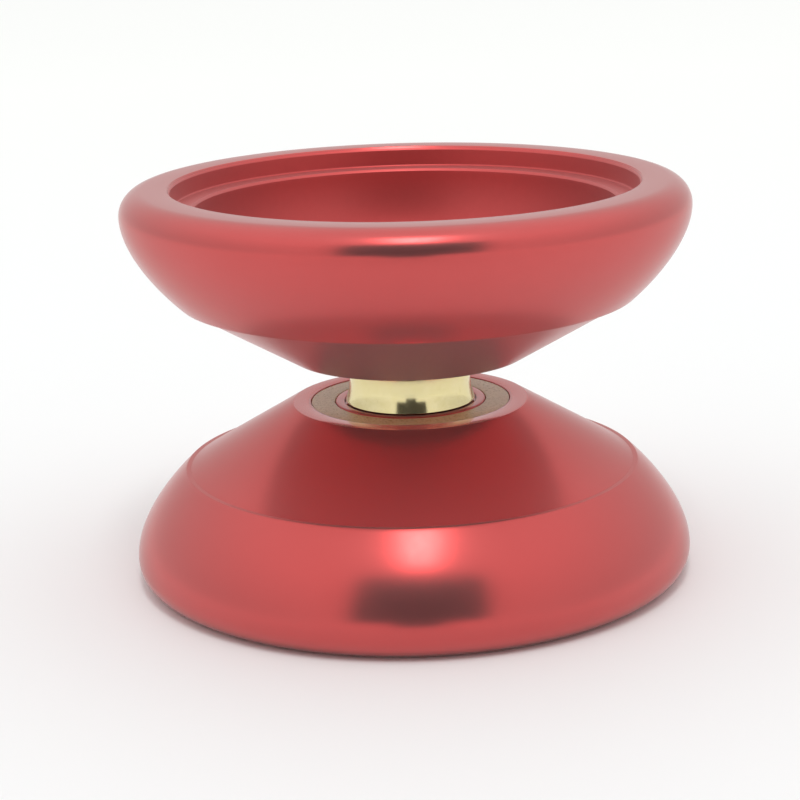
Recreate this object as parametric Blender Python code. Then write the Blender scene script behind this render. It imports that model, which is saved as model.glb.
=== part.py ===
"""Unresponsive-play yo yo: two turned aluminium halves on one axle, with a centring ball bearing.

The frame's origin is the centre of the yo yo, halfway between the halves on the axle's axis.
+Z runs along the axle. The string would run in the slot around the bearing at Z = 0.
Each half is one turned solid: rim, cone, cup, hub boss, bearing seat and pad recess.
"""

import math

import bmesh
import bpy
from mathutils import Matrix, Vector

MM = 0.001

# Driving dimensions, in millimetres
OUTER_R = 27.4                 # rim radius at its widest
HALF_WIDTH = 19.3              # centre of the yo yo to the flat rim face
HUB_FACE_Z = 2.36              # half of the string gap at the hub
HUB_R = 11.55                  # outer edge of the flat hub face, where the cone starts
CONE_END_R = 21.81             # end of the straight cone
CONE_END_Z = 8.46
RIM_START_R = 22.26            # a narrow flat ledge runs from the cone's end to here
RIM_START_ANGLE = 42.0         # degrees from the radial direction, just past the ledge
RIM_START_PULL = 2.85          # how long the rim keeps that angle
RIM_SIDE_PULL = 3.0            # how long the rim stays upright at its widest
CORNER_R = 2.35                # rounding between the rim and its flat face

FACE_INNER_R = 22.75           # inner edge of the flat rim face
EDGE_CHAMFER_R = 0.28          # chamfer inside that edge, along the radius
EDGE_CHAMFER_Z = 0.38          # and along the axle
STEP_DEPTH = 2.07              # flat rim face down to the ledge inside it
LEDGE_INNER_R = 20.65
LEDGE_CHAMFER = 0.24
CUP_ROUND_R = 13.0             # the bowl's section, from the ledge down to the flat floor
CUP_FLOOR_Z = 4.8
BOSS_R = 4.3                   # boss that holds the axle's thread
BOSS_TOP_Z = 9.6
BOSS_CHAMFER = 0.6

PAD_RECESS_OUT_R = 9.79
PAD_RECESS_IN_R = 7.36
PAD_RECESS_DEPTH = 1.10
PAD_SINK = 0.05                # the pad's face sits this far below the hub face
SEAT_R = 6.45                  # bore of the lip around the bearing
SEAT_FLOOR_Z = 2.70
SEAT_STEP_R = 4.15             # raised step that carries only the inner race
SEAT_STEP_Z = 2.42
POST_R = 3.13                  # post that centres the bearing
POST_END_Z = 0.45
POST_CHAMFER = 0.25

AXLE_R = 1.95
AXLE_HALF_LENGTH = 8.0
AXLE_HOLE_R = 2.03
AXLE_HOLE_Z = 8.6
AXLE_CHAMFER = 0.35
SOCKET_ACROSS = 2.0            # hexagon socket, across flats
SOCKET_DEPTH = 2.4

BEARING_OUT_R = 6.35
BEARING_HALF_WIDTH = 2.38125
BEARING_BORE_R = 3.175
BEARING_EDGE = 0.10
GROOVE_DEPTH = 0.42            # depth of the concave string groove in the outer race
RACE_SHOULDER_R = 5.34
RACE_BAND_HALF = 1.78          # half height of the race's thick middle
CLIP_GROOVE_R = 5.72
INNER_SHOULDER_R = 4.05
BALL_R = 0.79375
BALL_COUNT = 10
BALL_PITCH_R = 4.7625
RUN_GAP = 0.05                 # running clearance inside the bearing
SHIELD_IN_R = 4.16
SHIELD_OUT_R = 5.66
SHIELD_THICKNESS = 0.14
SHIELD_Z = 1.86
CLIP_IN_R = 5.30
CLIP_OUT_R = 5.66
CLIP_THICKNESS = 0.26
CLIP_Z = 2.04
CLIP_OPENING = 16.0            # degrees left open in each snap ring
CAGE_IN_R = 4.46
CAGE_OUT_R = 5.06
CAGE_BASE_Z = -1.30
CAGE_TOP_Z = 0.42
CAGE_POCKET_R = 0.86

FIT_GAP = 0.05                 # clearance around pieces that sit in a recess
HALF_SEGMENTS = 60
BEARING_SEGMENTS = 40


def clear_scene():
    for obj in list(bpy.data.objects):
        bpy.data.objects.remove(obj, do_unlink=True)


def material(name, colour, roughness, metallic, transmission=0.0):
    mat = bpy.data.materials.new(name)
    mat.use_nodes = True
    shader = mat.node_tree.nodes["Principled BSDF"]
    shader.inputs["Base Color"].default_value = (*colour, 1.0)
    shader.inputs["Roughness"].default_value = roughness
    shader.inputs["Metallic"].default_value = metallic
    shader.inputs["Transmission Weight"].default_value = transmission
    mat.diffuse_color = (*colour, 1.0)
    return mat


def add_object(name, bm, mat, parent=None, smooth_angle=28.0):
    bmesh.ops.recalc_face_normals(bm, faces=bm.faces)
    mesh = bpy.data.meshes.new(name)
    bm.to_mesh(mesh)
    bm.free()
    mesh.shade_smooth()
    mesh.set_sharp_from_angle(angle=math.radians(smooth_angle))
    mesh.materials.append(mat)
    obj = bpy.data.objects.new(name, mesh)
    bpy.context.scene.collection.objects.link(obj)
    obj.parent = parent
    return obj


def add_empty(name, location=(0.0, 0.0, 0.0)):
    empty = bpy.data.objects.new(name, None)
    empty.location = location
    empty.empty_display_size = 0.01
    bpy.context.scene.collection.objects.link(empty)
    return empty


def turned(profile, segments, sweep=360.0, start=0.0):
    """Spin a closed (radius, z) outline in millimetres about Z."""
    bm = bmesh.new()
    turn = Matrix.Rotation(math.radians(start), 4, "Z")
    verts = [bm.verts.new(turn @ Vector((r * MM, 0.0, z * MM))) for r, z in profile]
    full = abs(sweep - 360.0) < 1e-6
    edges = []
    for i, vert in enumerate(verts):
        after = verts[(i + 1) % len(verts)]
        on_axis = abs(vert.co.x) < 1e-9 and abs(after.co.x) < 1e-9
        if not on_axis or not full:
            edges.append(bm.edges.new((vert, after)))
    geom = verts + edges
    if not full:
        geom.append(bm.faces.new(verts))
    bmesh.ops.spin(
        bm,
        geom=geom,
        cent=(0.0, 0.0, 0.0),
        axis=(0.0, 0.0, 1.0),
        angle=math.radians(sweep),
        steps=segments,
        use_merge=full,
        use_duplicate=False,
    )
    bmesh.ops.remove_doubles(bm, verts=bm.verts, dist=1e-7)
    return bm


def bezier(start, pull_start, pull_end, end, steps):
    """Points of a cubic curve after its start, ending at its end."""
    points = []
    for i in range(1, steps + 1):
        t = i / steps
        u = 1.0 - t
        weights = (u ** 3, 3 * u * u * t, 3 * u * t * t, t ** 3)
        corners = (start, pull_start, pull_end, end)
        points.append(tuple(sum(w * c[k] for w, c in zip(weights, corners)) for k in (0, 1)))
    return points


def arc(centre, radius, angle_from, angle_to, steps):
    """Points along a circle, in degrees, leaving out the first."""
    points = []
    for i in range(1, steps + 1):
        angle = math.radians(angle_from + (angle_to - angle_from) * i / steps)
        points.append((centre[0] + radius * math.cos(angle), centre[1] + radius * math.sin(angle)))
    return points


def half_profile():
    """Outline of the half above the gap, from the end of the axle hole round to the cup's boss."""
    points = [(0.0, AXLE_HOLE_Z), (AXLE_HOLE_R, AXLE_HOLE_Z)]
    points += [(AXLE_HOLE_R, POST_END_Z)]
    points += [(POST_R - POST_CHAMFER, POST_END_Z), (POST_R, POST_END_Z + POST_CHAMFER)]
    points += [(POST_R, SEAT_STEP_Z), (SEAT_STEP_R, SEAT_STEP_Z)]
    points += [(SEAT_STEP_R, SEAT_FLOOR_Z), (SEAT_R, SEAT_FLOOR_Z)]
    points += [(SEAT_R, HUB_FACE_Z), (PAD_RECESS_IN_R, HUB_FACE_Z)]
    recess_z = HUB_FACE_Z + PAD_RECESS_DEPTH
    points += [(PAD_RECESS_IN_R, recess_z), (PAD_RECESS_OUT_R, recess_z)]
    points += [(PAD_RECESS_OUT_R, HUB_FACE_Z), (HUB_R, HUB_FACE_Z)]
    points += [(CONE_END_R, CONE_END_Z)]
    rim_start = (RIM_START_R, CONE_END_Z)
    points.append(rim_start)
    angle = math.radians(RIM_START_ANGLE)
    pull = (
        rim_start[0] + RIM_START_PULL * math.cos(angle),
        rim_start[1] + RIM_START_PULL * math.sin(angle),
    )
    widest = (OUTER_R, HALF_WIDTH - CORNER_R)
    points += bezier(rim_start, pull, (OUTER_R, widest[1] - RIM_SIDE_PULL), widest, 7)
    points += arc((OUTER_R - CORNER_R, widest[1]), CORNER_R, 0.0, 90.0, 4)
    points += [(FACE_INNER_R, HALF_WIDTH)]
    wall_r = FACE_INNER_R - EDGE_CHAMFER_R
    ledge_z = HALF_WIDTH - STEP_DEPTH
    points += [(wall_r, HALF_WIDTH - EDGE_CHAMFER_Z), (wall_r, ledge_z)]
    cup_r = LEDGE_INNER_R - LEDGE_CHAMFER
    points += [(LEDGE_INNER_R, ledge_z), (cup_r, ledge_z - LEDGE_CHAMFER)]
    bowl_centre = (cup_r - CUP_ROUND_R, ledge_z - LEDGE_CHAMFER)
    bowl_end = -math.degrees(math.asin((bowl_centre[1] - CUP_FLOOR_Z) / CUP_ROUND_R))
    points += arc(bowl_centre, CUP_ROUND_R, 0.0, bowl_end, 8)
    points += [(BOSS_R, CUP_FLOOR_Z)]
    points += [(BOSS_R, BOSS_TOP_Z - BOSS_CHAMFER), (BOSS_R - BOSS_CHAMFER, BOSS_TOP_Z)]
    points += [(0.0, BOSS_TOP_Z)]
    return points


def mirrored(profile):
    return [(r, -z) for r, z in profile]


def pad_profile():
    inner = PAD_RECESS_IN_R + FIT_GAP
    outer = PAD_RECESS_OUT_R - FIT_GAP
    low = HUB_FACE_Z + PAD_SINK
    high = HUB_FACE_Z + PAD_RECESS_DEPTH - FIT_GAP
    soft = 0.08
    return [
        (inner, high),
        (inner, low + soft),
        (inner + soft, low),
        (outer - soft, low),
        (outer, low + soft),
        (outer, high),
    ]


def outer_race_profile():
    side = BEARING_HALF_WIDTH
    edge_z = side - BEARING_EDGE
    chord = edge_z * 2.0
    groove_r = (chord * chord / 4.0 + GROOVE_DEPTH ** 2) / (2.0 * GROOVE_DEPTH)
    points = [(BEARING_OUT_R - BEARING_EDGE, side), (BEARING_OUT_R, edge_z)]
    steps = 6
    for i in range(1, steps):
        z = edge_z - chord * i / steps
        depth = math.sqrt(groove_r ** 2 - z * z) - (groove_r - GROOVE_DEPTH)
        points.append((BEARING_OUT_R - depth, z))
    points += [(BEARING_OUT_R, -edge_z), (BEARING_OUT_R - BEARING_EDGE, -side)]
    points += [(CLIP_GROOVE_R, -side), (CLIP_GROOVE_R, -RACE_BAND_HALF)]
    points += [(RACE_SHOULDER_R, -RACE_BAND_HALF)]
    points += ball_groove(RACE_SHOULDER_R, 1.0)
    points += [(RACE_SHOULDER_R, RACE_BAND_HALF), (CLIP_GROOVE_R, RACE_BAND_HALF)]
    points += [(CLIP_GROOVE_R, side)]
    return points


def ball_groove(shoulder_r, side):
    """Points of a race's ball groove from -Z to +Z, side +1 outside the balls and -1 inside."""
    radius = BALL_R + RUN_GAP
    reach = (shoulder_r - BALL_PITCH_R) * side
    half = math.sqrt(radius ** 2 - reach ** 2)
    points = []
    steps = 4
    for i in range(steps + 1):
        z = -half + 2.0 * half * i / steps
        points.append((BALL_PITCH_R + side * math.sqrt(max(radius ** 2 - z * z, reach ** 2)), z))
    return points


def inner_race_profile():
    side = BEARING_HALF_WIDTH
    edge = 0.15
    points = [(BEARING_BORE_R + edge, -side), (INNER_SHOULDER_R - edge, -side)]
    points += [(INNER_SHOULDER_R, -side + edge)]
    points += ball_groove(INNER_SHOULDER_R, -1.0)
    points += [(INNER_SHOULDER_R, side - edge), (INNER_SHOULDER_R - edge, side)]
    points += [(BEARING_BORE_R + edge, side), (BEARING_BORE_R, side - edge)]
    points += [(BEARING_BORE_R, -side + edge)]
    return points


def ring_profile(inner, outer, z_from, thickness):
    return [
        (inner, z_from),
        (outer, z_from),
        (outer, z_from + thickness),
        (inner, z_from + thickness),
    ]


def axle_profile():
    end = AXLE_HALF_LENGTH
    tip = AXLE_R - AXLE_CHAMFER
    return [
        (0.0, end),
        (tip, end),
        (AXLE_R, end - AXLE_CHAMFER),
        (AXLE_R, -end + AXLE_CHAMFER),
        (tip, -end),
        (0.0, -end),
    ]


def hex_prism(across, z_from, z_to):
    """Closed hexagonal prism, used to cut the key socket."""
    bm = bmesh.new()
    radius = across / math.sqrt(3.0) * MM
    depth = (z_to - z_from) * MM
    bmesh.ops.create_cone(
        bm, cap_ends=True, segments=6, radius1=radius, radius2=radius, depth=depth
    )
    bmesh.ops.translate(bm, verts=bm.verts, vec=(0.0, 0.0, (z_from + z_to) * 0.5 * MM))
    return bm


def cut(obj, cutter):
    cutter.hide_render = True
    cutter.display_type = "WIRE"
    boolean = obj.modifiers.new("cut", "BOOLEAN")
    boolean.operation = "DIFFERENCE"
    boolean.solver = "EXACT"
    boolean.object = cutter


def pocket_cutters():
    """One mesh of separate radial bores, a pocket for each ball."""
    bm = bmesh.new()
    for i in range(BALL_COUNT):
        angle = 2.0 * math.pi * i / BALL_COUNT
        made = bmesh.ops.create_cone(
            bm,
            cap_ends=True,
            segments=12,
            radius1=CAGE_POCKET_R * MM,
            radius2=CAGE_POCKET_R * MM,
            depth=2.0 * MM,
        )
        place = Matrix.Rotation(angle, 4, "Z")
        place = place @ Matrix.Translation((BALL_PITCH_R * MM, 0.0, 0.0))
        place = place @ Matrix.Rotation(math.radians(90.0), 4, "Y")
        place = place @ Matrix.Rotation(math.radians(15.0), 4, "Z")
        bmesh.ops.transform(bm, matrix=place, verts=made["verts"])
    return bm


def ball_mesh():
    bm = bmesh.new()
    bmesh.ops.create_uvsphere(bm, u_segments=12, v_segments=8, radius=BALL_R * MM)
    return bm


def build():
    clear_scene()
    red = material("anodised_red", (0.62, 0.075, 0.07), 0.34, 1.0)
    gold = material("gold_plated_steel", (0.83, 0.66, 0.33), 0.28, 1.0)
    steel = material("bearing_steel", (0.62, 0.62, 0.61), 0.22, 1.0)
    thin_steel = material("shield_steel", (0.55, 0.55, 0.54), 0.3, 1.0)
    silicone = material("silicone", (0.42, 0.36, 0.29), 0.45, 0.0)
    axle_steel = material("axle_steel", (0.5, 0.5, 0.5), 0.3, 1.0)
    cage_steel = material("cage_steel", (0.58, 0.56, 0.52), 0.3, 1.0)

    root = add_empty("yoyo_root")
    top = add_empty("top_half_axis")
    spin = add_empty("bearing_spin_axis")
    orbit = add_empty("cage_orbit_axis")
    for empty in (top, spin, orbit):
        empty.parent = root

    half = half_profile()
    add_object("top_half", turned(half, HALF_SEGMENTS), red, top)
    add_object("bottom_half", turned(mirrored(half), HALF_SEGMENTS), red, root)

    pad = pad_profile()
    add_object("response_pad_top", turned(pad, HALF_SEGMENTS), silicone, top)
    add_object("response_pad_bottom", turned(mirrored(pad), HALF_SEGMENTS), silicone, root)

    axle = add_object("axle", turned(axle_profile(), 24), axle_steel, root)
    socket = hex_prism(SOCKET_ACROSS, AXLE_HALF_LENGTH - SOCKET_DEPTH, AXLE_HALF_LENGTH + 1.0)
    cut(axle, add_object("axle_socket_cutter", socket, axle_steel, root))

    race = turned(outer_race_profile(), BEARING_SEGMENTS)
    add_object("bearing_outer_race", race, gold, spin)
    race = turned(inner_race_profile(), BEARING_SEGMENTS)
    add_object("bearing_inner_race", race, steel, root)

    shield = ring_profile(SHIELD_IN_R, SHIELD_OUT_R, SHIELD_Z, SHIELD_THICKNESS)
    add_object("bearing_shield_top", turned(shield, BEARING_SEGMENTS), thin_steel, spin)
    add_object("bearing_shield_bottom", turned(mirrored(shield), BEARING_SEGMENTS), thin_steel, spin)

    clip = ring_profile(CLIP_IN_R, CLIP_OUT_R, CLIP_Z, CLIP_THICKNESS)
    sweep = 360.0 - CLIP_OPENING
    add_object("snap_ring_top", turned(clip, 44, sweep, 20.0), thin_steel, spin)
    add_object("snap_ring_bottom", turned(mirrored(clip), 44, sweep, 200.0), thin_steel, spin)

    cage_ring = ring_profile(CAGE_IN_R, CAGE_OUT_R, CAGE_BASE_Z, CAGE_TOP_Z - CAGE_BASE_Z)
    cage = add_object("ball_cage", turned(cage_ring, 60), cage_steel, orbit)
    cut(cage, add_object("cage_pocket_cutter", pocket_cutters(), cage_steel, orbit))

    ball = ball_mesh()
    first = add_object("bearing_ball_01", ball, steel, orbit, 80.0)
    for i in range(BALL_COUNT):
        angle = 2.0 * math.pi * i / BALL_COUNT
        obj = first
        if i:
            obj = bpy.data.objects.new(f"bearing_ball_{i + 1:02d}", first.data)
            bpy.context.scene.collection.objects.link(obj)
            obj.parent = orbit
        obj.location = (
            BALL_PITCH_R * MM * math.cos(angle),
            BALL_PITCH_R * MM * math.sin(angle),
            0.0,
        )


build()
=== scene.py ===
"""Looks of the yo yo: fine turned surfaces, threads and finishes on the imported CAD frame."""

import math

import bmesh
import bpy
from mathutils import Matrix, Vector


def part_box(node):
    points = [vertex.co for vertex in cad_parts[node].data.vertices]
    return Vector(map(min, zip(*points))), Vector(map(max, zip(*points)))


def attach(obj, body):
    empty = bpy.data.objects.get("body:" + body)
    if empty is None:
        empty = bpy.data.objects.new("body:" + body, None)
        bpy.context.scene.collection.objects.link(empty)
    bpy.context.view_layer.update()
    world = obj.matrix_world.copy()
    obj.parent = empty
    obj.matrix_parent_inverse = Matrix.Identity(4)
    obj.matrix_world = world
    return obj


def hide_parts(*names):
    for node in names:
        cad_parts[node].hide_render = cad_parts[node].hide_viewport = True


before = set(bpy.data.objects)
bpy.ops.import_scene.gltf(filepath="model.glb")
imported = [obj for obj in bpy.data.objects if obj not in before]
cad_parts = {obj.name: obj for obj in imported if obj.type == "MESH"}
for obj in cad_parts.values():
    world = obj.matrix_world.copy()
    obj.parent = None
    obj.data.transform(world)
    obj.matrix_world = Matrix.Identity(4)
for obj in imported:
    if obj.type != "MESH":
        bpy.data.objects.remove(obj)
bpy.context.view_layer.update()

MM = 0.001

# Sizes in millimetres, as the CAD nodes have them
OUTER_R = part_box("top_half")[1].x / MM
HALF_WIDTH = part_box("top_half")[1].z / MM
HUB_FACE_Z = 2.36
HUB_R = 11.55
CONE_END_R, CONE_END_Z = 21.81, 8.46
RIM_START_R = 22.26
CONE_RISE = (CONE_END_Z - HUB_FACE_Z) / (CONE_END_R - HUB_R)
RIM_START_ANGLE = math.radians(42.0)
RIM_START_PULL, RIM_SIDE_PULL = 2.85, 3.0
CORNER_R = 2.35
FACE_INNER_R = 22.75
EDGE_CHAMFER_R, EDGE_CHAMFER_Z = 0.28, 0.38
STEP_DEPTH = 2.07
LEDGE_INNER_R, LEDGE_CHAMFER = 20.65, 0.24
CUP_ROUND_R, CUP_FLOOR_Z = 13.0, 4.8
BOSS_R, BOSS_TOP_Z, BOSS_CHAMFER = 4.3, 9.6, 0.6
PAD_RECESS_OUT_R, PAD_RECESS_IN_R, PAD_RECESS_DEPTH = 9.79, 7.36, 1.10
PAD_SINK, PAD_CROWN = 0.05, 0.02
SEAT_R, SEAT_FLOOR_Z = 6.45, 2.70
SEAT_STEP_R, SEAT_STEP_Z = 4.15, 2.42
POST_R, POST_END_Z, POST_CHAMFER = 3.13, 0.45, 0.25
AXLE_R, AXLE_HALF_LENGTH = 1.95, 8.0
AXLE_HOLE_R, AXLE_HOLE_Z, AXLE_HOLE_CHAMFER = 2.03, 8.6, 0.3
THREAD_PITCH, THREAD_DEPTH = 0.7, 0.34
THREAD_FLAT = 0.1              # share of the thread's height cut flat at its crest, and at its root
AXLE_TIP_DROP = 0.05           # how far below the thread's root the coned ends start
SOCKET_ACROSS, SOCKET_DEPTH, SOCKET_CONE_DEPTH = 2.0, 2.4, 0.35
SOCKET_FLARE, SOCKET_FLARE_DEPTH = 1.06, 0.08
RACE_R, RACE_HALF, RACE_EDGE = 6.35, 2.38, 0.10
STRING_GROOVE = 0.42
RACE_SHOULDER_R, RACE_BAND_HALF, CLIP_GROOVE_R = 5.34, 1.78, 5.72
BORE_R, INNER_SHOULDER_R = 3.175, 4.05
BALL_R, BALL_PITCH_R, RUN_GAP = 0.79375, 4.7625, 0.05
BALL_COUNT = 10
BALL_ROLL = 1.1                # radians that each ball has rolled more than the one before
SHIELD_IN_R, SHIELD_OUT_R, SHIELD_Z, SHIELD_THICKNESS = 4.16, 5.66, 1.86, 0.14
SHIELD_BAND_IN_R, SHIELD_BAND_OUT_R = 4.45, 5.15
SHIELD_BAND_SLOPE, SHIELD_BAND_RISE = 0.10, 0.03
CLIP_IN_R, CLIP_OUT_R, CLIP_Z, CLIP_THICKNESS = 5.30, 5.66, 2.04, 0.26
CLIP_OPENING = 16.0            # degrees
CLIP_SQUARENESS = 0.6          # 1 is round wire, and less is flatter
FIT_GAP = 0.05

# Radii of edge rounds, in millimetres
CRISP, EASED = 0.05, 0.10
POST_FOOT_ROUND, LIP_ROUND, HUB_EDGE_ROUND = 0.08, 0.13, 0.16
CONE_END_ROUND, WALL_FOOT_ROUND, BOSS_FOOT_ROUND = 0.06, 0.2, 0.8
PAD_INNER_ROUND, PAD_OUTER_ROUND = 0.09, 0.07
RACE_EDGE_ROUND, BORE_ROUND, INNER_EDGE_ROUND = 0.04, 0.15, 0.12

# Facets and steps of the turned surfaces
ROUND = 288                    # facets round the halves
ROUND_SMALL = 160              # facets round the bearing and pads
AXLE_ROUND, ROWS_PER_PITCH = 72, 10
RIM_STEPS, CORNER_STEPS, BOWL_STEPS = 26, 16, 40
PAD_STEPS, BALL_GROOVE_STEPS, STRING_GROOVE_STEPS = 8, 12, 22
SMALL_ROUND, SMALL_ROUND_STEPS, LARGE_ROUND_STEPS = 0.2, 3, 6
WIRE_AROUND, WIRE_ALONG = 16, 132
BALL_AROUND, BALL_LEVELS = 32, 20

# Where each finish of a half begins, in millimetres
HUB_FACE_MARGIN = 0.005        # a face this close to the hub plane belongs to it
SEAT_ZONE_R = 6.6              # just outside the lip of the bearing seat
CUP_MASK_RISE = 0.9            # the cup is all that lies this high above the cone's line,
CUP_MASK_SIDE = 0.1            # this far inside the rim face's inner edge
CUP_MASK_DROP = 0.2            # and this far below that face

# The floor, in metres, with painted shade: the paper is coloured darker near the yo yo than far from
# it
FLOOR_R, FLOOR_ROUND = 1.6, 96
FLOOR_NEAR_REACH, FLOOR_FAR_REACH = 0.08, 0.45
# painted shade: the near tone is darker and bluer than the far tone, standing in for shade round the
# yo yo and its red bounce
FLOOR_NEAR_SHADED_TONE, FLOOR_FAR_TONE = (0.87, 0.878, 0.880), (0.93, 0.94, 0.925)

# The white cove: its level by height, then by depth, and how much dimmer its two sides are
COVE_LEVELS = ((0.0, 1.02), (0.10, 0.97), (0.45, 1.0), (0.75, 1.15), (1.0, 1.15))
COVE_BLUE = 0.995
COVE_FRONT, COVE_BACK = 1.06, 0.86
SIDE_FROM, SIDE_TO, SIDE_DROP = 0.45, 0.95, 0.13
SIDE_FADE_FROM, SIDE_FADE_TO = 0.20, 0.55

# The overhead panel, in metres and in degrees as seen from the yo yo
PANEL_HEIGHT = 0.60
PANEL_FAR_ELEVATION, PANEL_NEAR_ELEVATION = 56.0, 77.0
PANEL_LEFT_ANGLE, PANEL_RIGHT_ANGLE = 4.5, 8.5
PANEL_LEVEL = 9.6

# The card that stands for the real camera: its outline is in degrees across and up from the yo yo
CARD_DISTANCE = 0.30
CARD_FOOT = ((-25.0, 6.0), (-8.0, 6.0), (-8.0, 0.0), (10.0, 0.0), (10.0, 6.0), (27.0, 6.0))
CARD_TOP = ((34.0, 49.0), (-28.0, 49.0))
CARD_TONE = (0.05, 0.047, 0.047)

# The camera, in millimetres of film, metres and degrees
SENSOR, LENS = 36.0, 93.7
SHIFT_X, SHIFT_Y = -0.01225, -0.0318
CAMERA_DISTANCE, CAMERA_ELEVATION, CAMERA_ROLL = 0.20452, 14.353, -1.53


# ---------------------------------------------------------------- turned shapes

def fillet(before, corner, after, radius, steps):
    """Points of a round of that radius between two straight lines that meet at corner."""
    a = Vector(before) - Vector(corner)
    b = Vector(after) - Vector(corner)
    half = a.angle(b) / 2.0
    reach = radius / math.tan(half)
    limit = 0.49 * min(a.length, b.length)      # two rounds on one line never meet
    if reach > limit:
        reach = limit
        radius = reach * math.tan(half)
    a.normalize()
    b.normalize()
    centre = Vector(corner) + (a + b).normalized() * (radius / math.sin(half))
    start = Vector(corner) + a * reach - centre
    end = Vector(corner) + b * reach - centre
    points = []
    for i in range(steps + 1):
        t = i / steps
        way = (start * (1.0 - t) + end * t).normalized() * radius
        points.append(tuple(centre + way))
    return points


def rounded(outline):
    """Outline of (r, z) or (r, z, radius) corners with each marked corner rounded."""
    points = []
    count = len(outline)
    for i, corner in enumerate(outline):
        if len(corner) == 2:
            points.append(corner)
            continue
        before = outline[i - 1][:2]
        after = outline[(i + 1) % count][:2]
        steps = SMALL_ROUND_STEPS if corner[2] < SMALL_ROUND else LARGE_ROUND_STEPS
        points += fillet(before, corner[:2], after, corner[2], steps)
    return points


def bezier(start, pull_start, pull_end, end, steps):
    """Points of a cubic curve, without its start."""
    corners = (start, pull_start, pull_end, end)
    points = []
    for i in range(1, steps + 1):
        t = i / steps
        u = 1.0 - t
        weights = (u ** 3, 3 * u * u * t, 3 * u * t * t, t ** 3)
        points.append(tuple(sum(w * c[k] for w, c in zip(weights, corners)) for k in (0, 1)))
    return points


def arc(centre, radius, angle_from, angle_to, steps):
    """Points of a circular arc between two angles in degrees, without its start."""
    points = []
    for i in range(1, steps + 1):
        angle = math.radians(angle_from + (angle_to - angle_from) * i / steps)
        points.append((centre[0] + radius * math.cos(angle), centre[1] + radius * math.sin(angle)))
    return points


def at_angle(r, angle, z):
    """Place in metres of a point at a radius and height in millimetres and an angle in radians."""
    return (r * MM * math.cos(angle), r * MM * math.sin(angle), z * MM)


def bridge(bm, one, two):
    """Band of quads between two closed loops of the same count."""
    count = len(one)
    for i in range(count):
        j = (i + 1) % count
        bm.faces.new((one[i], two[i], two[j], one[j]))


def fan(bm, tip, loop):
    """Triangles from one point to a closed loop."""
    count = len(loop)
    for i in range(count):
        bm.faces.new((tip, loop[i], loop[(i + 1) % count]))


def lathe(outline, segments, side=1.0):
    """Closed (r, z) outline turned about Z. side -1 mirrors it to the lower half."""
    bm = bmesh.new()
    rings = []
    for r, z in outline:
        z *= side
        if r < 1e-6:
            rings.append([bm.verts.new((0.0, 0.0, z * MM))])
            continue
        angles = (2.0 * math.pi * i / segments for i in range(segments))
        rings.append([bm.verts.new(at_angle(r, angle, z)) for angle in angles])
    for one, two in zip(rings, rings[1:] + rings[:1]):
        if len(one) == 1 and len(two) == 1:
            continue
        if len(one) == 1:
            fan(bm, one[0], two)
        elif len(two) == 1:
            fan(bm, two[0], one[::-1])
        else:
            bridge(bm, one, two)
    bmesh.ops.recalc_face_normals(bm, faces=bm.faces)
    return bm


def make_object(name, bm, mat, body, node, sharp=35.0):
    """Piece that rides on a body in place of a CAD node. Edges over sharp degrees stay sharp."""
    mesh = bpy.data.meshes.new(name)
    bm.to_mesh(mesh)
    bm.free()
    mesh.shade_smooth()
    mesh.set_sharp_from_angle(angle=math.radians(sharp))
    mesh.materials.append(mat)
    obj = bpy.data.objects.new(name, mesh)
    bpy.context.scene.collection.objects.link(obj)
    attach(obj, body)
    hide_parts(node)
    return obj


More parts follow.
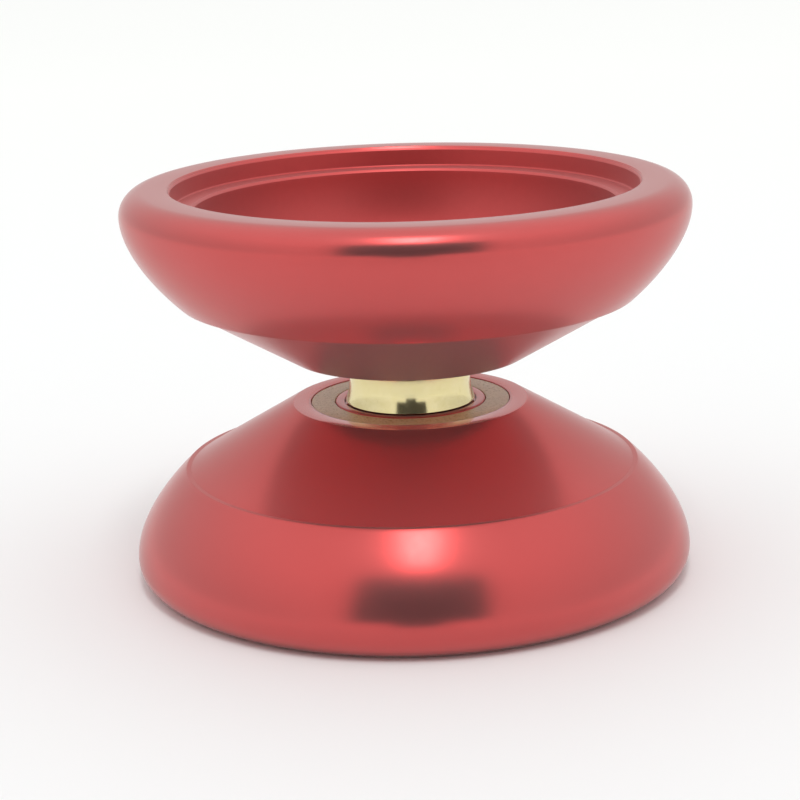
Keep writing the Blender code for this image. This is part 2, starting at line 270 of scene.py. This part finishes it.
def half_outline():
    """The half above the gap, from the axle hole round the outside and down into the cup."""
    recess_z = HUB_FACE_Z + PAD_RECESS_DEPTH
    points = [(0.0, AXLE_HOLE_Z), (AXLE_HOLE_R, AXLE_HOLE_Z)]
    points += [(AXLE_HOLE_R, POST_END_Z + AXLE_HOLE_CHAMFER)]
    points += [(AXLE_HOLE_R + AXLE_HOLE_CHAMFER, POST_END_Z)]
    points += [(POST_R - POST_CHAMFER, POST_END_Z), (POST_R, POST_END_Z + POST_CHAMFER)]
    points += [(POST_R, SEAT_STEP_Z, POST_FOOT_ROUND), (SEAT_STEP_R, SEAT_STEP_Z, CRISP)]
    points += [(SEAT_STEP_R, SEAT_FLOOR_Z, EASED), (SEAT_R, SEAT_FLOOR_Z, EASED)]
    points += [(SEAT_R, HUB_FACE_Z, LIP_ROUND), (PAD_RECESS_IN_R, HUB_FACE_Z, LIP_ROUND)]
    points += [(PAD_RECESS_IN_R, recess_z, EASED), (PAD_RECESS_OUT_R, recess_z, EASED)]
    points += [(PAD_RECESS_OUT_R, HUB_FACE_Z, CRISP), (HUB_R, HUB_FACE_Z, HUB_EDGE_ROUND)]
    points += [(CONE_END_R, CONE_END_Z, CONE_END_ROUND)]
    rim_start = (RIM_START_R, CONE_END_Z)
    points.append((*rim_start, CRISP))
    pull = (
        rim_start[0] + RIM_START_PULL * math.cos(RIM_START_ANGLE),
        rim_start[1] + RIM_START_PULL * math.sin(RIM_START_ANGLE),
    )
    widest = (OUTER_R, HALF_WIDTH - CORNER_R)
    points += bezier(rim_start, pull, (OUTER_R, widest[1] - RIM_SIDE_PULL), widest, RIM_STEPS)
    points += arc((OUTER_R - CORNER_R, widest[1]), CORNER_R, 0.0, 90.0, CORNER_STEPS)
    wall_r = FACE_INNER_R - EDGE_CHAMFER_R
    ledge_z = HALF_WIDTH - STEP_DEPTH
    cup_r = LEDGE_INNER_R - LEDGE_CHAMFER
    points += [(FACE_INNER_R, HALF_WIDTH, CRISP), (wall_r, HALF_WIDTH - EDGE_CHAMFER_Z, CRISP)]
    points += [(wall_r, ledge_z, WALL_FOOT_ROUND), (LEDGE_INNER_R, ledge_z, CRISP)]
    points += [(cup_r, ledge_z - LEDGE_CHAMFER, CRISP)]
    bowl_centre = (cup_r - CUP_ROUND_R, ledge_z - LEDGE_CHAMFER)
    bowl_end = -math.degrees(math.asin((bowl_centre[1] - CUP_FLOOR_Z) / CUP_ROUND_R))
    points += arc(bowl_centre, CUP_ROUND_R, 0.0, bowl_end, BOWL_STEPS)
    points += [(BOSS_R, CUP_FLOOR_Z, BOSS_FOOT_ROUND), (BOSS_R, BOSS_TOP_Z - BOSS_CHAMFER, EASED)]
    points += [(BOSS_R - BOSS_CHAMFER, BOSS_TOP_Z, EASED), (0.0, BOSS_TOP_Z)]
    return rounded(points)


def pad_outline():
    inner = PAD_RECESS_IN_R + FIT_GAP
    outer = PAD_RECESS_OUT_R - FIT_GAP
    low = HUB_FACE_Z + PAD_SINK
    high = HUB_FACE_Z + PAD_RECESS_DEPTH - FIT_GAP
    points = [(inner, high), (inner, low, PAD_INNER_ROUND)]
    for i in range(1, PAD_STEPS):      # the face is very slightly crowned
        t = i / PAD_STEPS
        points.append((inner + (outer - inner) * t, low - PAD_CROWN * math.sin(math.pi * t)))
    points += [(outer, low, PAD_OUTER_ROUND), (outer, high)]
    return rounded(points)


def ball_groove(shoulder_r, side):
    """Track of the balls in a race. side 1 is the outer race's, and -1 the inner race's."""
    radius = BALL_R + RUN_GAP
    reach = (shoulder_r - BALL_PITCH_R) * side
    half = math.sqrt(radius ** 2 - reach ** 2)
    points = []
    for i in range(BALL_GROOVE_STEPS + 1):
        z = -half + 2.0 * half * i / BALL_GROOVE_STEPS
        points.append((BALL_PITCH_R + side * math.sqrt(max(radius ** 2 - z * z, reach ** 2)), z))
    return points


def outer_race_outline():
    edge_z = RACE_HALF - RACE_EDGE
    chord = edge_z * 2.0
    curve_r = (chord * chord / 4.0 + STRING_GROOVE ** 2) / (2.0 * STRING_GROOVE)
    points = [(RACE_R - RACE_EDGE, RACE_HALF, RACE_EDGE_ROUND), (RACE_R, edge_z, CRISP)]
    for i in range(1, STRING_GROOVE_STEPS):
        z = edge_z - chord * i / STRING_GROOVE_STEPS
        depth = math.sqrt(curve_r ** 2 - z * z) - (curve_r - STRING_GROOVE)
        points.append((RACE_R - depth, z))
    points += [(RACE_R, -edge_z, CRISP), (RACE_R - RACE_EDGE, -RACE_HALF, RACE_EDGE_ROUND)]
    points += [(CLIP_GROOVE_R, -RACE_HALF, CRISP), (CLIP_GROOVE_R, -RACE_BAND_HALF)]
    points += [(RACE_SHOULDER_R, -RACE_BAND_HALF, CRISP)]
    points += ball_groove(RACE_SHOULDER_R, 1.0)
    points += [(RACE_SHOULDER_R, RACE_BAND_HALF, CRISP), (CLIP_GROOVE_R, RACE_BAND_HALF)]
    points += [(CLIP_GROOVE_R, RACE_HALF, CRISP)]
    return rounded(points)


def inner_race_outline():
    points = [(BORE_R, -RACE_HALF, BORE_ROUND), (INNER_SHOULDER_R, -RACE_HALF, INNER_EDGE_ROUND)]
    points += ball_groove(INNER_SHOULDER_R, -1.0)
    points += [(INNER_SHOULDER_R, RACE_HALF, INNER_EDGE_ROUND), (BORE_R, RACE_HALF, BORE_ROUND)]
    return rounded(points)


def shield_outline():
    """Pressed steel: a shallow raised band between a flat inner lip and the clamped edge."""
    low, high = SHIELD_Z, SHIELD_Z + SHIELD_THICKNESS
    rise = SHIELD_BAND_RISE
    inner, outer = SHIELD_BAND_IN_R, SHIELD_BAND_OUT_R
    band_in, band_out = inner + SHIELD_BAND_SLOPE, outer - SHIELD_BAND_SLOPE
    points = [(SHIELD_IN_R, low), (inner, low, CRISP), (band_in, low + rise, CRISP)]
    points += [(band_out, low + rise, CRISP), (outer, low, CRISP), (SHIELD_OUT_R, low)]
    points += [(SHIELD_OUT_R, high - rise), (outer, high - rise, CRISP), (band_out, high, CRISP)]
    points += [(band_in, high, CRISP), (inner, high - rise, CRISP), (SHIELD_IN_R, high - rise)]
    return rounded(points)


def snap_ring(side, start):
    """Open ring of flattened round wire, with its two ends capped."""
    bm = bmesh.new()
    mid_r = (CLIP_IN_R + CLIP_OUT_R) / 2.0
    mid_z = CLIP_Z + CLIP_THICKNESS / 2.0
    half_r = (CLIP_OUT_R - CLIP_IN_R) / 2.0
    half_z = CLIP_THICKNESS / 2.0
    section = []
    for k in range(WIRE_AROUND):
        turn = 2.0 * math.pi * k / WIRE_AROUND
        cos, sin = math.cos(turn), math.sin(turn)
        dr = half_r * math.copysign(abs(cos) ** CLIP_SQUARENESS, cos)
        dz = half_z * math.copysign(abs(sin) ** CLIP_SQUARENESS, sin)
        section.append((mid_r + dr, (mid_z + dz) * side))
    sweep = math.radians(360.0 - CLIP_OPENING)
    rings = []
    for i in range(WIRE_ALONG + 1):
        angle = math.radians(start) + sweep * i / WIRE_ALONG
        rings.append([bm.verts.new(at_angle(r, angle, z)) for r, z in section])
    for one, two in zip(rings, rings[1:]):
        bridge(bm, one, two)
    bm.faces.new(rings[0])
    bm.faces.new(list(reversed(rings[-1])))
    bmesh.ops.recalc_face_normals(bm, faces=bm.faces)
    return bm


def thread_radius(z, turn):
    """Radius of the axle at a height and at a turn from 0 to 1, with its coned ends."""
    core = AXLE_R - THREAD_DEPTH
    phase = (z / THREAD_PITCH - turn) % 1.0
    crest = 1.0 - abs(phase * 2.0 - 1.0)
    crest = min(1.0, max(0.0, (crest - THREAD_FLAT) / (1.0 - 2.0 * THREAD_FLAT)))
    from_end = AXLE_HALF_LENGTH - abs(z)
    return min(core + THREAD_DEPTH * crest, core - AXLE_TIP_DROP + from_end)


def hexagon_radius(angle):
    """Radius of the hexagon socket's wall at an angle."""
    sixth = math.pi / 3.0
    folded = angle % sixth - sixth / 2.0
    return SOCKET_ACROSS / 2.0 / math.cos(folded)


def threaded_axle():
    """Set screw: a helical thread between two coned ends, with a hexagon socket in the top end."""
    bm = bmesh.new()
    angles = [2.0 * math.pi * i / AXLE_ROUND for i in range(AXLE_ROUND)]
    length = AXLE_HALF_LENGTH * 2.0
    rows = int(length / THREAD_PITCH * ROWS_PER_PITCH)
    rings = []
    for k in range(rows + 1):
        z = AXLE_HALF_LENGTH - length * k / rows
        radii = [thread_radius(z, i / AXLE_ROUND) for i in range(AXLE_ROUND)]
        rings.append([bm.verts.new(at_angle(r, angle, z)) for r, angle in zip(radii, angles)])
    for one, two in zip(rings, rings[1:]):
        bridge(bm, one, two)
    bm.faces.new(list(reversed(rings[-1])))
    floor_z = AXLE_HALF_LENGTH - SOCKET_DEPTH
    flare_z = AXLE_HALF_LENGTH - SOCKET_FLARE_DEPTH
    levels = [rings[0]]
    for z, grow in ((AXLE_HALF_LENGTH, SOCKET_FLARE), (flare_z, 1.0), (floor_z, 1.0)):
        levels.append([bm.verts.new(at_angle(hexagon_radius(a) * grow, a, z)) for a in angles])
    for one, two in zip(levels, levels[1:]):
        bridge(bm, two, one)
    tip = bm.verts.new((0.0, 0.0, (floor_z - SOCKET_CONE_DEPTH) * MM))
    fan(bm, tip, levels[-1])
    bmesh.ops.recalc_face_normals(bm, faces=bm.faces)
    return bm


def ball(index):
    bm = bmesh.new()
    bmesh.ops.create_uvsphere(
        bm, u_segments=BALL_AROUND, v_segments=BALL_LEVELS, radius=BALL_R * MM
    )
    angle = 2.0 * math.pi * index / BALL_COUNT
    place = Matrix.Rotation(angle, 4, "Z") @ Matrix.Translation((BALL_PITCH_R * MM, 0.0, 0.0))
    place = place @ Matrix.Rotation(BALL_ROLL * index, 4, "X")
    bmesh.ops.transform(bm, matrix=place, verts=bm.verts)
    return bm


# ---------------------------------------------------------------- materials

class Nodes:
    """Small helper that adds and links shader nodes in one node tree."""

    def __init__(self, tree, coordinates):
        self.tree = tree
        self.coord = self.add("ShaderNodeTexCoord").outputs[coordinates]

    def add(self, kind, **values):
        node = self.tree.nodes.new(kind)
        for key, value in values.items():
            setattr(node, key, value)
        return node

    def link(self, a, b):
        self.tree.links.new(a, b)

    def math(self, operation, a, b=0.0):
        node = self.add("ShaderNodeMath", operation=operation)
        for socket, value in zip(node.inputs, (a, b)):
            if isinstance(value, (int, float)):
                socket.default_value = value
            else:
                self.link(value, socket)
        return node.outputs[0]

    def noise(self, scale, detail, rough, vector=None):
        node = self.add("ShaderNodeTexNoise")
        node.inputs["Scale"].default_value = scale
        node.inputs["Detail"].default_value = detail
        node.inputs["Roughness"].default_value = rough
        self.link(vector or self.coord, node.inputs["Vector"])
        return node.outputs["Fac"]

    def remap(self, value, low, high, to_low, to_high):
        node = self.add("ShaderNodeMapRange")
        sockets = ("From Min", "From Max", "To Min", "To Max")
        for key, number in zip(sockets, (low, high, to_low, to_high)):
            node.inputs[key].default_value = number
        self.link(value, node.inputs["Value"])
        return node.outputs["Result"]

    def mix(self, factor, one, two):
        """Blend of two colours, each a tuple or a socket."""
        node = self.add("ShaderNodeMix", data_type="RGBA")
        self.link(factor, node.inputs["Factor"])
        for index, value in ((6, one), (7, two)):
            if isinstance(value, tuple):
                node.inputs[index].default_value = (*value, 1.0)
            else:
                self.link(value, node.inputs[index])
        return node.outputs[2]

    def split(self, vector):
        node = self.add("ShaderNodeSeparateXYZ")
        self.link(vector, node.inputs[0])
        return node.outputs

    def radius_and_height(self):
        x, y, z = self.split(self.coord)
        square = self.math("ADD", self.math("MULTIPLY", x, x), self.math("MULTIPLY", y, y))
        return self.math("SQRT", square), z

    def rings(self, scale, detail):
        """Noise that only varies with radius and height: the tracks a lathe tool leaves."""
        r, z = self.radius_and_height()
        joined = self.add("ShaderNodeCombineXYZ")
        self.link(r, joined.inputs[0])
        self.link(z, joined.inputs[1])
        return self.noise(scale, detail, 0.6, joined.outputs[0])

    def bump(self, height, distance, strength, normal=None):
        node = self.add("ShaderNodeBump")
        node.inputs["Strength"].default_value = strength
        node.inputs["Distance"].default_value = distance
        self.link(height, node.inputs["Height"])
        if normal is not None:
            self.link(normal, node.inputs["Normal"])
        return node.outputs["Normal"]


class Surface(Nodes):
    """Material with one Principled shader."""

    def __init__(self, name):
        self.mat = bpy.data.materials.new(name)
        self.mat.use_nodes = True
        super().__init__(self.mat.node_tree, "Object")
        self.shader = self.tree.nodes["Principled BSDF"]

    def set(self, **values):
        """Set or link the shader's sockets, named with _ for each space."""
        for key, value in values.items():
            socket = self.shader.inputs[key.replace("_", " ")]
            if isinstance(value, tuple):
                socket.default_value = (*value, 1.0)
            elif isinstance(value, (int, float)):
                socket.default_value = value
            else:
                self.link(value, socket)


def anodised_red(name, rough_low, rough_high, coat_rough):
    """A satin skin: fine even grain, with faint clouds in the dye."""
    deep, bright, dull = (0.535, 0.039, 0.037), (0.565, 0.046, 0.044), (0.51, 0.036, 0.035)
    cup_extra = 0.27
    n = Surface(name)
    grain = n.noise(5000.0, 1.0, 0.5)
    soft = n.noise(1400.0, 3.0, 0.55)
    cloud = n.noise(55.0, 3.0, 0.5)
    dye = n.mix(n.remap(cloud, 0.3, 0.7, 0.0, 1.0), deep, bright)
    dye = n.mix(n.remap(soft, 0.35, 0.65, 0.0, 0.25), dye, dull)
    rough = n.remap(soft, 0.3, 0.7, rough_low, rough_high)
    # the cup is blasted coarser than the outside: everything above the cone and inside the rim face
    r, z = n.radius_and_height()
    height = n.math("ABSOLUTE", z)
    cone_rise = n.math("MULTIPLY", n.math("SUBTRACT", r, HUB_R * MM), CONE_RISE)
    above = n.math("SUBTRACT", height, cone_rise)
    inside = n.math("GREATER_THAN", above, (HUB_FACE_Z + CUP_MASK_RISE) * MM)
    within = n.math("LESS_THAN", r, (FACE_INNER_R - CUP_MASK_SIDE) * MM)
    inside = n.math("MULTIPLY", inside, within)
    below = n.math("LESS_THAN", height, (HALF_WIDTH - CUP_MASK_DROP) * MM)
    inside = n.math("MULTIPLY", inside, below)
    rough = n.math("ADD", rough, n.math("MULTIPLY", inside, cup_extra))
    normal = n.bump(grain, 0.0000008, 0.5)
    n.set(Base_Color=dye, Metallic=0.93, Roughness=rough, Normal=normal)
    n.set(Specular_Tint=(0.72, 0.45, 0.43))
    n.set(Coat_Weight=1.0, Coat_Roughness=coat_rough, Coat_IOR=1.42)
    n.set(Sheen_Weight=0.125, Sheen_Roughness=0.8)
    return n.mat


def gold_race():
    """Plated steel with fine scratches along the axle, from handling and string slips."""
    deep, bright, scratch = (0.745, 0.640, 0.33), (0.80, 0.70, 0.40), (0.55, 0.45, 0.24)
    n = Surface("gold_plated_race")
    tracks = n.rings(9000.0, 3.0)
    stretch = n.add("ShaderNodeMapping")
    stretch.inputs["Scale"].default_value = (1.0, 1.0, 0.10)
    n.link(n.coord, stretch.inputs["Vector"])
    hair = n.noise(9000.0, 2.0, 0.7, stretch.outputs["Vector"])
    marks = n.remap(hair, 0.62, 0.70, 0.0, 0.30)
    mottle = n.noise(900.0, 4.0, 0.6)
    tone = n.mix(n.remap(mottle, 0.3, 0.7, 0.0, 1.0), deep, bright)
    tone = n.mix(marks, tone, scratch)
    rough = n.remap(mottle, 0.3, 0.7, 0.09, 0.18)
    normal = n.bump(tracks, 0.0000004, 0.3)
    normal = n.bump(hair, 0.0000008, 0.4, normal)
    n.set(Base_Color=tone, Metallic=1.0, Roughness=rough, Normal=normal)
    return n.mat


def steel(name, tone, rough_low, rough_high, track_depth, scale=6000.0):
    """Turned or pressed steel, slightly mottled, with fine tool tracks."""
    n = Surface(name)
    tracks = n.rings(scale, 3.0)
    mottle = n.noise(1500.0, 3.0, 0.5)
    darker = tuple(c * 0.86 for c in tone)
    colour = n.mix(n.remap(mottle, 0.3, 0.7, 0.0, 1.0), darker, tone)
    rough = n.remap(mottle, 0.3, 0.7, rough_low, rough_high)
    normal = n.bump(tracks, track_depth, 0.5)
    n.set(Base_Color=colour, Metallic=1.0, Roughness=rough, Normal=normal)
    return n.mat


def silicone():
    """Khaki rubber with a fine pebbled face and a little light through it."""
    deep, pale = (0.64, 0.47, 0.27), (0.71, 0.54, 0.32)
    n = Surface("silicone")
    pebble = n.noise(5200.0, 3.0, 0.6)
    blotch = n.noise(420.0, 4.0, 0.6)
    tone = n.mix(n.remap(blotch, 0.3, 0.7, 0.0, 1.0), deep, pale)
    rough = n.remap(pebble, 0.3, 0.7, 0.24, 0.34)
    n.set(Base_Color=tone, Roughness=rough, Normal=n.bump(pebble, 0.0000015, 0.3), IOR=1.38)
    n.set(Subsurface_Weight=0.35, Subsurface_Scale=0.001)
    n.shader.inputs["Subsurface Radius"].default_value = (1.0, 0.8, 0.5)
    return n.mat


red = anodised_red("anodised_red", 0.205, 0.240, 0.40)
red_smooth = anodised_red("anodised_red_hub", 0.07, 0.10, 0.08)
gold = gold_race()
race_steel = steel("bearing_steel", (0.66, 0.66, 0.65), 0.14, 0.24, 0.0000008)
sheet_steel = steel("shield_steel", (0.60, 0.60, 0.58), 0.22, 0.34, 0.0000012, 4000.0)
cage_steel = steel("cage_steel", (0.60, 0.57, 0.52), 0.30, 0.42, 0.0000015, 3000.0)
axle_steel = steel("axle_steel", (0.56, 0.56, 0.56), 0.22, 0.34, 0.000001, 5000.0)
pad_silicone = silicone()


# ---------------------------------------------------------------- pieces

def is_smooth(face):
    """Whether a face is on the flat hub or inside it, where the tool left it smooth."""
    on_hub = abs(face.center.z) < (HUB_FACE_Z + HUB_FACE_MARGIN) * MM
    return on_hub or face.center.xy.length < SEAT_ZONE_R * MM


for side, word, node in ((1.0, "upper", "top_half"), (-1.0, "lower", "bottom_half")):
    turned = lathe(half_outline(), ROUND, side)
    half = make_object(f"{word}_half_surface", turned, red, f"{word}_half", node)
    half.data.materials.append(red_smooth)
    for face in half.data.polygons:
        face.material_index = int(is_smooth(face))

for side, word, body in ((1.0, "top", "upper_half"), (-1.0, "bottom", "lower_half")):
    pad = lathe(pad_outline(), ROUND_SMALL, side)
    make_object(f"silicone_pad_{word}", pad, pad_silicone, body, f"response_pad_{word}")

race = lathe(outer_race_outline(), ROUND_SMALL)
make_object("concave_race", race, gold, "bearing_ring", "bearing_outer_race")
race = lathe(inner_race_outline(), ROUND_SMALL)
make_object("inner_race", race, race_steel, "lower_half", "bearing_inner_race")

for side, word, start in ((1.0, "top", 20.0), (-1.0, "bottom", 200.0)):
    shield = lathe(shield_outline(), ROUND_SMALL, side)
    node = f"bearing_shield_{word}"
    make_object(f"shield_{word}", shield, sheet_steel, "bearing_ring", node)
    wire = snap_ring(side, start)
    node = f"snap_ring_{word}"
    make_object(f"snap_wire_{word}", wire, sheet_steel, "bearing_ring", node, 50.0)

make_object("threaded_axle", threaded_axle(), axle_steel, "lower_half", "axle", 40.0)

for i in range(BALL_COUNT):
    node = f"bearing_ball_{i + 1:02d}"
    make_object(f"ball_{i + 1:02d}", ball(i), race_steel, "ball_set", node, 80.0)

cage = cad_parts["ball_cage"]
cage.material_slots[0].material = cage_steel


# ---------------------------------------------------------------- floor, light and camera

def stage_object(name, bm, mat):
    """Object that isn't part of the yo yo."""
    mesh = bpy.data.meshes.new(name)
    bm.to_mesh(mesh)
    bm.free()
    mesh.materials.append(mat)
    obj = bpy.data.objects.new(name, mesh)
    bpy.context.scene.collection.objects.link(obj)
    return obj


def floor_paper():
    """Paper with painted shade: its colour is darker near the yo yo and a little lighter away from
    it.
    """
    n = Surface("floor_paper")
    reach = n.add("ShaderNodeVectorMath", operation="LENGTH")
    n.link(n.coord, reach.inputs[0])
    # painted shade: the colour ramps by distance from the yo yo, from the darker near tone to the
    # lighter far tone
    ramp = n.add("ShaderNodeMapRange", data_type="FLOAT_VECTOR")
    ramp.inputs[7].default_value = (FLOOR_NEAR_REACH,) * 3
    ramp.inputs[8].default_value = (FLOOR_FAR_REACH,) * 3
    ramp.inputs[9].default_value = FLOOR_NEAR_SHADED_TONE
    ramp.inputs[10].default_value = FLOOR_FAR_TONE
    n.link(reach.outputs["Value"], ramp.inputs[6])
    n.set(Base_Color=ramp.outputs[1], Roughness=0.7)
    return n.mat


def make_floor():
    bm = bmesh.new()
    bmesh.ops.create_circle(bm, cap_ends=True, segments=FLOOR_ROUND, radius=FLOOR_R)
    floor = stage_object("floor", bm, floor_paper())
    floor.location = (0.0, 0.0, -HALF_WIDTH * MM)


def make_world():
    """A white cove, a little brighter in front and overhead than behind, and dimmer at its sides."""
    world = bpy.data.worlds.new("studio")
    world.use_nodes = True
    n = Nodes(world.node_tree, "Generated")
    back = n.tree.nodes["Background"]
    x, y, z = n.split(n.coord)
    ramp = n.add("ShaderNodeValToRGB")
    ramp.color_ramp.interpolation = "EASE"
    elements = ramp.color_ramp.elements
    while len(elements) < len(COVE_LEVELS):
        elements.new(0.5)
    for element, (place, level) in zip(elements, COVE_LEVELS):
        element.position = place
        element.color = (level, level, level * COVE_BLUE, 1.0)
    n.link(z, ramp.inputs[0])
    n.link(ramp.outputs[0], back.inputs["Color"])
    depth = n.remap(y, -1.0, 1.0, COVE_FRONT, COVE_BACK)
    wide = n.remap(n.math("ABSOLUTE", x), SIDE_FROM, SIDE_TO, 0.0, SIDE_DROP)
    low = n.remap(z, SIDE_FADE_FROM, SIDE_FADE_TO, 1.0, 0.0)
    strength = n.math("SUBTRACT", depth, n.math("MULTIPLY", wide, low))
    n.link(strength, back.inputs["Strength"])
    bpy.context.scene.world = world


def make_panel():
    """One soft panel overhead, a little in front of the yo yo. It faces straight down."""
    far_y = -PANEL_HEIGHT / math.tan(math.radians(PANEL_FAR_ELEVATION))
    near_y = -PANEL_HEIGHT / math.tan(math.radians(PANEL_NEAR_ELEVATION))
    left_x = -PANEL_HEIGHT * math.tan(math.radians(PANEL_LEFT_ANGLE))
    right_x = PANEL_HEIGHT * math.tan(math.radians(PANEL_RIGHT_ANGLE))
    width, length = right_x - left_x, near_y - far_y
    data = bpy.data.lights.new("panel_overhead", "AREA")
    data.shape = "RECTANGLE"
    data.size = width
    data.size_y = length
    data.energy = PANEL_LEVEL * math.pi * width * length
    panel = bpy.data.objects.new("panel_overhead", data)
    panel.location = ((left_x + right_x) / 2.0, (near_y + far_y) / 2.0, PANEL_HEIGHT)
    bpy.context.scene.collection.objects.link(panel)


def make_card():
    """Black slab with a narrow foot, seen only in reflections, as the camera and its holder are."""
    bm = bmesh.new()
    corners = []
    for across, up in CARD_FOOT + CARD_TOP:
        x = CARD_DISTANCE * math.tan(math.radians(across))
        z = CARD_DISTANCE * math.tan(math.radians(up))
        corners.append(bm.verts.new((x, -CARD_DISTANCE, z)))
    bm.faces.new(corners)
    mat = bpy.data.materials.new("card_black")
    mat.use_nodes = True
    shader = mat.node_tree.nodes["Principled BSDF"]
    shader.inputs["Base Color"].default_value = (*CARD_TONE, 1.0)
    shader.inputs["Roughness"].default_value = 0.8
    card = stage_object("camera_card", bm, mat)
    card.visible_camera = False
    card.visible_shadow = False


def make_camera():
    data = bpy.data.cameras.new("camera")
    data.sensor_width = SENSOR
    data.lens = LENS
    data.clip_start = 0.01
    data.clip_end = 20.0
    data.shift_x = SHIFT_X
    data.shift_y = SHIFT_Y
    camera = bpy.data.objects.new("camera", data)
    elevation = math.radians(CAMERA_ELEVATION)
    out, up = CAMERA_DISTANCE * math.cos(elevation), CAMERA_DISTANCE * math.sin(elevation)
    camera.location = (0.0, -out, up)
    roll = Matrix.Rotation(math.radians(CAMERA_ROLL), 4, "Z")
    look = (-camera.location).to_track_quat("-Z", "Y").to_matrix().to_4x4()
    camera.matrix_world = Matrix.Translation(camera.location) @ look @ roll
    bpy.context.scene.collection.objects.link(camera)
    bpy.context.scene.camera = camera


make_floor()
make_world()
make_panel()
make_card()
make_camera()
view = bpy.context.scene.view_settings
view.view_transform = "Standard"
view.look = "None"
